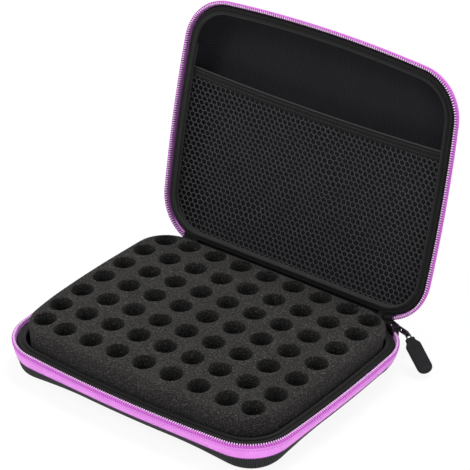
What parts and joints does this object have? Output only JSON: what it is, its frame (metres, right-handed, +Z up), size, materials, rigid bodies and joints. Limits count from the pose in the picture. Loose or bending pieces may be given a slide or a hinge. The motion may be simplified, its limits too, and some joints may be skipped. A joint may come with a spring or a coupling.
{
  "type": "zipped storage case",
  "caption": "Zipped, fabric-covered case for small bottles, lying open: shallow base with a foam block full of round holes, hinged lid with a net pocket, zip slider with a rubber pull.",
  "frame": {"origin": "centre of the base's flat underside, midway along the case's width and depth", "axes": "+Z up; -Y to the front, where the zip opens; +Y to the fabric hinge; +X to the parked slider's side"},
  "size_m": [0.2606, 0.2627, 0.2156],
  "materials": {
    "shell_fabric": "black ribbed knit bonded to moulded board",
    "lining_fabric": "dark smooth lining with a fine vertical rib",
    "welt_fabric": "charcoal knit, matt",
    "zip_tape": "woven violet tape",
    "zip_coil": "pale violet nylon coil",
    "foam": "open-cell charcoal foam",
    "hem_fabric": "elastic knit band",
    "net": "dark knitted net",
    "slider_metal": "black lacquer",
    "tab_rubber": "matt black moulded rubber"
  },
  "bodies": {
    "base": {"base_shell": "shell_fabric", "base_lining": "lining_fabric", "base_welt": "welt_fabric", "base_zip_tape": "zip_tape", "base_zip_coil": "zip_coil", "base_zip_stops": "zip_coil", "hinge_strip": "shell_fabric", "foam_base_pad": "foam", "foam_insert": "foam"},
    "lid": {"lid_shell": "shell_fabric", "lid_lining": "lining_fabric", "lid_welt": "welt_fabric", "lid_zip_tape": "zip_tape", "lid_zip_coil": "zip_coil", "lid_coil_ends": "zip_coil", "lid_zip_stops": "zip_coil", "pocket_binding": "hem_fabric", "pocket_net": "net", "pocket_hem": "hem_fabric"},
    "zip_slider": {"zip_slider": "slider_metal"},
    "pull_lever": {"pull_lever": "slider_metal"},
    "pull_tab": {"pull_loop": "slider_metal", "pull_tab": "tab_rubber"}
  },
  "joints": [
    {"name": "lid_hinge", "type": "hinge", "parent": "base", "child": "lid", "pos_m": [0, 0.0978, 0.025], "axis": [-1, 0, 0], "range_deg": [-103, 77], "deforming": ["hinge_strip", "lid_coil_ends", "pocket_net", "pocket_hem"]},
    {"name": "slider_run", "type": "hinge", "parent": "base", "child": "zip_slider", "pos_m": [0.0835, 0.061, 0.025], "axis": [0, 0, 1], "range_deg": [-45, 0]},
    {"name": "lever_swing", "type": "hinge", "parent": "zip_slider", "child": "pull_lever", "pos_m": [0.1033, 0.0953, 0.025], "axis": [0, 0, 1], "range_deg": [-4, 54]},
    {"name": "tab_swing", "type": "hinge", "parent": "pull_lever", "child": "pull_tab", "pos_m": [0.11385, 0.09217, 0.025], "axis": [-0.284, -0.9588, 0], "range_deg": [-49, 75]}
  ]
}
